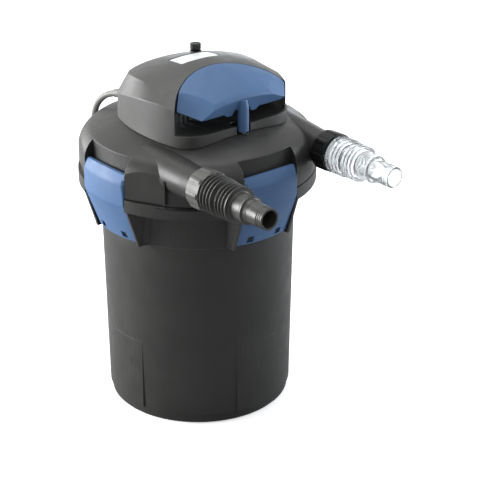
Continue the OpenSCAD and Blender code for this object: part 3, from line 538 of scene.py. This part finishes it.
def plan(t, d, square=FRONT_SQUARE):
    """Point of the outline in direction t (degrees from the front), d inside it."""
    s, c = math.sin(math.radians(t)), math.cos(math.radians(t))
    q = square if c > 0 else BACK_SQUARE

    def reach(cx, cy, r):
        b = s * cx - c * cy
        return b + math.sqrt(b * b - (cx * cx + cy * cy - r * r))

    k = ((HOOD_FRONT - d) / c) ** -q if c > 0.01 else 0
    k += reach(SIDE_R - HOOD_HALF, SIDE_Y, SIDE_R - d) ** -q
    k += reach(HOOD_HALF - SIDE_R, SIDE_Y, SIDE_R - d) ** -q
    k += reach(0, HOOD_BACK - BACK_R, BACK_R - d) ** -q
    r = k ** (-1 / q)
    return r * s, -r * c


def crown(x, y, s):
    return HOOD_TOP - s - (y - CROWN_Y) ** 2 / CROWN_KY - x * x / CROWN_KX


def column(t, s):
    """Points up the hood at t, from its foot over the top edge and in along the crown."""
    front = max(0.0, min(1.0, (FRONT_ARC - min(t, 360 - t)) / FRONT_BLEND))
    y0 = plan(t, 0)[1]
    drop = max(SIDE_DROP_MIN, min(SIDE_DROP_MAX, SIDE_DROP + SIDE_DROP_MORE * y0))
    wide = SIDE_W - SIDE_IN - SIDE_W_LESS * y0
    bends = [Vector((*plan(t, s + inward + more * front, square), z))
             for inward, more, square, z in WALL]
    for a, b in zip(FRONT_EDGE, SIDE_EDGE):
        x, y = plan(t, s + front * FRONT_W * a[0] + (1 - front) * (SIDE_IN + wide * b[0]))
        bends.append(Vector((x, y, crown(x, y, s) - front * FRONT_DROP * a[1]
                             - (1 - front) * drop * b[1])))
    points = [bends[0]]
    for a, b, c in zip(bends, bends[1:], bends[2:]):
        u, v = a - b, c - b
        u *= min(EDGE_ROUND, EDGE_SHARE * u.length) / u.length
        v *= min(EDGE_ROUND, EDGE_SHARE * v.length) / v.length
        points += [b + u, b + 0.25 * u + 0.25 * v, b + v]
    top = bends[-1]
    inner = [(top.x * k, top.y * k) for k in CROWN_RINGS]
    return points + [top] + [Vector((x, y, crown(x, y, s))) for x, y in inner]


def hood_form(s=0.0, n=240):
    """The hood's outside, s inside it: a disc at its foot, its rim drawn up ring by ring."""
    columns = [column(360 * i / n, s) for i in range(n)]
    bm = bmesh.new()
    side = bm.verts.layers.int.new("side")
    for v in bmesh.ops.create_circle(bm, cap_ends=True, cap_tris=True, segments=n,
                                     radius=1)["verts"]:
        if v.co.length < 0.5:       # the disc's middle
            v.co.z = FOOT_Z
            continue
        v[side] = round(math.degrees(math.atan2(v.co.x, -v.co.y)) * n / 360) % n
        v.co = columns[v[side]][0]
    for ring in range(1, len(columns[0]) + 1):
        rim = [e for e in bm.edges if e.is_boundary]
        made = [g for g in bmesh.ops.extrude_edge_only(bm, edges=rim)["geom"]
                if isinstance(g, bmesh.types.BMVert)]
        if ring < len(columns[0]):
            for v in made:
                v.co = columns[v[side]][ring]
    bmesh.ops.pointmerge(bm, verts=made, merge_co=(0, 0, crown(0, 0, s)))
    bmesh.ops.recalc_face_normals(bm, faces=bm.faces)
    return bm


# ---------------------------------------------------------------- hood and label plate
HOOD_T = 3.2
GRIP_R, GRIP_Y = 104.0, -129.0      # the arched seam between hood and handle
ROD_Y, STEM_R, STEM_PLAY = 84.5, 6.5, 3.5
NOTCH_LOW, NOTCH_IN = 40, 8.5       # the slot for the stem: its foot, and how far behind the rod
CAP_R, SHOULDER_R, HEAD_R, SKIRT = 334.3, 26.0, 139.0, 24.0
DOME_GAP, DOME_RIM, DOME_FLAT, DOME_STEPS = 0.8, 122, 60.0, 6
LABEL_C, LABEL_L, LABEL_W, LABEL_ROUND = (4.0, 9.0), 55.0, 24.0, 2.2
LABEL_PLAY, LABEL_HOLE_ROUND = 1.8, 2.8
LABEL_DEEP, LABEL_UNDER = 0.5, 2.2  # its face and back, below the crown
LABEL_HOLE = (118, 135)             # through the hood's wall, under the plate
KNOB_C, KNOB_R, KNOB_HOLE_R = (22.0, 29.6), 6.4, 3.1
KNOB_SEAT, SEAT_DEEP, SEAT_WIDER = 1.5, 6, 0.4  # a low boss that the knob stands on
ABOVE = 140                         # over everything
CAP_MIDDLE = SKIRT - math.sqrt((CAP_R - SHOULDER_R) ** 2 - (HEAD_R - SHOULDER_R) ** 2)


def dome_z(r):
    return CAP_MIDDLE + math.sqrt(CAP_R ** 2 - r * r)


hood = solid(hood_form())
carve(hood, hood_form(HOOD_T))
carve(hood, rod(GRIP_R, RIM_Z, ABOVE, (0, GRIP_Y), 240))
dome = [DOME_RIM + i * (DOME_FLAT - DOME_RIM) / DOME_STEPS for i in range(DOME_STEPS + 1)]
carve(hood, turned([(0, 0), (HEAD_R, 0)] + [(r, dome_z(r) + DOME_GAP) for r in dome]
                   + [(0, dome_z(DOME_FLAT) + DOME_GAP)], 180))
notch_r, notch_y = STEM_R + STEM_PLAY, NOTCH_IN - ROD_Y
carve(hood, block((-notch_r, notch_r), (-100, notch_y), (NOTCH_LOW, RIM_Z + 1)))
carve(hood, rod(notch_r, NOTCH_LOW, RIM_Z + 1, (0, notch_y), 48))
carve(hood, rounded_box(LABEL_C, LABEL_L + LABEL_PLAY, LABEL_W + LABEL_PLAY, LABEL_HOLE_ROUND,
                        LABEL_HOLE))
knob_z = crown(*KNOB_C, 0) + KNOB_SEAT
carve(hood, rod(KNOB_R + SEAT_WIDER, knob_z - SEAT_DEEP, knob_z, KNOB_C, 48), "UNION")
carve(hood, rod(KNOB_HOLE_R, 60, 150, KNOB_C, 48))
show(finish(hood, "hood_skin", 26), "hood")

label = solid(hood_form(LABEL_DEEP))
carve(label, hood_form(LABEL_UNDER))
carve(label, rounded_box(LABEL_C, LABEL_L, LABEL_W, LABEL_ROUND, (115, 135)), "INTERSECT")
show(finish(label, "label_plate_skin", 28), "label_plate")

# ---------------------------------------------------------------- handle
GRIP_GAP = 0.8
SIDE_GAP, SIDE_GAP_Y = 3.6, 2.8     # the seam opens towards its two ends
GRIP_WALL = 3.0
GRIP_LOW = GRIP_Z - 5
STEM_TOP = GRIP_Z + 13
# Underside: a flat to hold, two lips beside the stem and a rise at each end.
UNDER = [(-120, GRIP_Z + 30), (-57, GRIP_Z), (-25, GRIP_Z), (-21, GRIP_Z - 3.5),
         (-14, GRIP_Z - 3.5), (-10.5, GRIP_Z + 2.5), (10.5, GRIP_Z + 2.5), (14, GRIP_Z - 3.5),
         (21, GRIP_Z - 3.5), (25, GRIP_Z), (57, GRIP_Z), (120, GRIP_Z + 30), (120, 150),
         (-120, 150)]
# The planes that trim its corners: direction and tilt in degrees, and a point on each.
FACETS = ((-137, 48.6, (-58.9, -49.9, 111.7)), (-57, 44, (61, -58, 111)))


def facet(direction, tilt, at, inward=0):
    """Block above a corner's plane."""
    bm = block((-90, 90), (-90, 90), (-inward, 60))
    bmesh.ops.transform(bm, matrix=Matrix.Translation(at)
                        @ Matrix.Rotation(math.radians(direction), 4, "Z")
                        @ Matrix.Rotation(math.radians(tilt), 4, "Y"), verts=bm.verts)
    return bm


handle = solid(hood_form())
carve(handle, rod(GRIP_R - GRIP_GAP, GRIP_LOW, ABOVE, (0, GRIP_Y), 240), "INTERSECT")
carve(handle, rod(GRIP_R - SIDE_GAP, GRIP_LOW, ABOVE, (0, GRIP_Y + SIDE_GAP_Y), 240),
      "INTERSECT")
carve(handle, prism(UNDER, -150, 0), "INTERSECT")
hollow = solid(hood_form(GRIP_WALL))
carve(hollow, rod(GRIP_R - GRIP_GAP - GRIP_WALL, GRIP_LOW - 1, ABOVE, (0, GRIP_Y), 120),
      "INTERSECT")
for corner in FACETS:
    carve(handle, facet(*corner))
    carve(hollow, facet(*corner, GRIP_WALL))
carve(hollow, block((-21, 21), (-100, -66), (GRIP_LOW - 1, 130)))
carve(handle, hollow)
stem_z = dome_z(ROD_Y - STEM_R) + 0.4
carve(handle, turned([(0, stem_z), (STEM_R - 0.8, stem_z), (STEM_R, stem_z + 0.8),
                      (STEM_R, GRIP_Z + 4), (STEM_R - 2, STEM_TOP), (0, STEM_TOP)],
                     48, (0, -ROD_Y, 0)), "UNION")
show(finish(handle, "handle_skin", 24), "handle")

# ---------------------------------------------------------------- fairings into the nozzles
NOZZLE_X, NOZZLE_Z = 90.6, 30.5
FAIRING = [(0, 34), (26.4, 34), (18.6, 123.6), (0, 123.6)]
FAIRING_BORE, FAIRING_LOW = 15.2, 16

for side, name in ((-1, "inlet_fairing"), (1, "outlet_fairing")):
    forward = Matrix.Translation((side * NOZZLE_X, 0, NOZZLE_Z)) \
        @ Matrix.Rotation(math.radians(90), 4, "X")
    cone, bore = turned(FAIRING), rod(FAIRING_BORE, 20, ABOVE)
    for bm in (cone, bore):
        bmesh.ops.transform(bm, matrix=forward, verts=bm.verts)
    fairing = solid(cone)
    carve(fairing, bore)
    carve(fairing, block((-150, 150), (-150, 0), (FAIRING_LOW, 90)), "INTERSECT")
    fairing = finish(fairing, name, 30)
    paint(fairing, HOUSING_ABS)
    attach(fairing, "housing")

# ---------------------------------------------------------------- all other nodes
OWN = {"hood", "label_plate", "handle", "cord_drop", "cord_coil"}
BROAD = {"bucket", "head_shell"}    # wide curves and low steps in one moulding
for name in NODES:
    if name not in OWN and not name.startswith("foam_ring"):
        smooth_copy(name, 12 if name in BROAD else 30)

for i in range(1, 5):
    ring = smooth_copy(f"foam_ring_{i}", 30)
    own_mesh(ring)

# ---------------------------------------------------------------- stage and light
# White card without gloss. The eye and clear plastic see it bright, and gloss faintly so; for
# the light on the object it is grey, so it keeps the shadow and throws little up.
FLOOR_HALF = 6
card, tree, shader = blank("paper_card_white")
path = node(tree, "LightPath")
seen = path.outputs["Is Camera Ray"]
for kind, share in (("Is Glossy Ray", 0.15), ("Is Transmission Ray", 1.0)):
    seen = node(tree, "Math", {0: path.outputs[kind], 1: share, 2: seen},
                operation="MULTIPLY_ADD", use_clamp=True).outputs[0]
surface = node(tree, "Mix", {0: seen, 6: srgb("#959595"), 7: srgb("#f9f9f9")}, data_type="RGBA")
glow = node(tree, "Mix", {0: seen, 6: srgb("#000000"), 7: srgb("#b3b3b3")}, data_type="RGBA")
feed(tree, shader, {"Base Color": surface.outputs[2], "Emission Color": glow.outputs[2],
                    "Emission Strength": 1.0, "Roughness": 0.9, "Specular IOR Level": 0.1})
bm = bmesh.new()
bmesh.ops.create_grid(bm, x_segments=1, y_segments=1, size=FLOOR_HALF)
floor = smoothed(bm, "floor", 30)
paint(floor, card)

SKY_SEEN, SKY_CAST = 1.0, 0.45      # for the eye and gloss, and for light on dull surfaces
world = bpy.data.worlds.new("studio")
scene.world = world
world.use_nodes = True
tree = world.node_tree
level = node(tree, "MapRange", {"Value": node(tree, "LightPath").outputs["Is Diffuse Ray"],
                                "To Min": SKY_SEEN, "To Max": SKY_CAST}).outputs["Result"]
feed(tree, tree.nodes["Background"], {"Color": srgb("#ffffff"), "Strength": level})

# Softboxes: name, place, what height they face on the axis, width, watts, colour.
for name, place, height, width, watts, color in (
        ("left", (-1.8, 1.5, 0.55), 0.25, 1.4, 108, "#ffffff"),
        ("left_back", (-0.7, 2.3, 0.75), 0.3, 1.8, 40, "#ffffff"),
        ("above", (0.1, 0.4, 2.6), 0.3, 2.0, 28, "#ffffff"),
        ("front_top", (-0.6, -1.5, 2.2), 0.3, 1.4, 8, "#ffffff"),
        ("right_front", (2.0, -0.8, 0.55), 0.2, 1.2, 40, "#f1f8ff"),
        ("right_back", (1.5, 1.6, 0.35), 0.15, 0.8, 5, "#eff7ff")):
    lamp = bpy.data.lights.new(name, "AREA")
    lamp.energy = watts
    lamp.size = width
    lamp.color = srgb(color)[:3]
    softbox = link(bpy.data.objects.new(name, lamp))
    softbox.location = place
    facing = Vector((0, 0, height)) - Vector(place)
    softbox.rotation_euler = facing.to_track_quat("-Z", "Y").to_euler()

scene.view_settings.view_transform = "Standard"
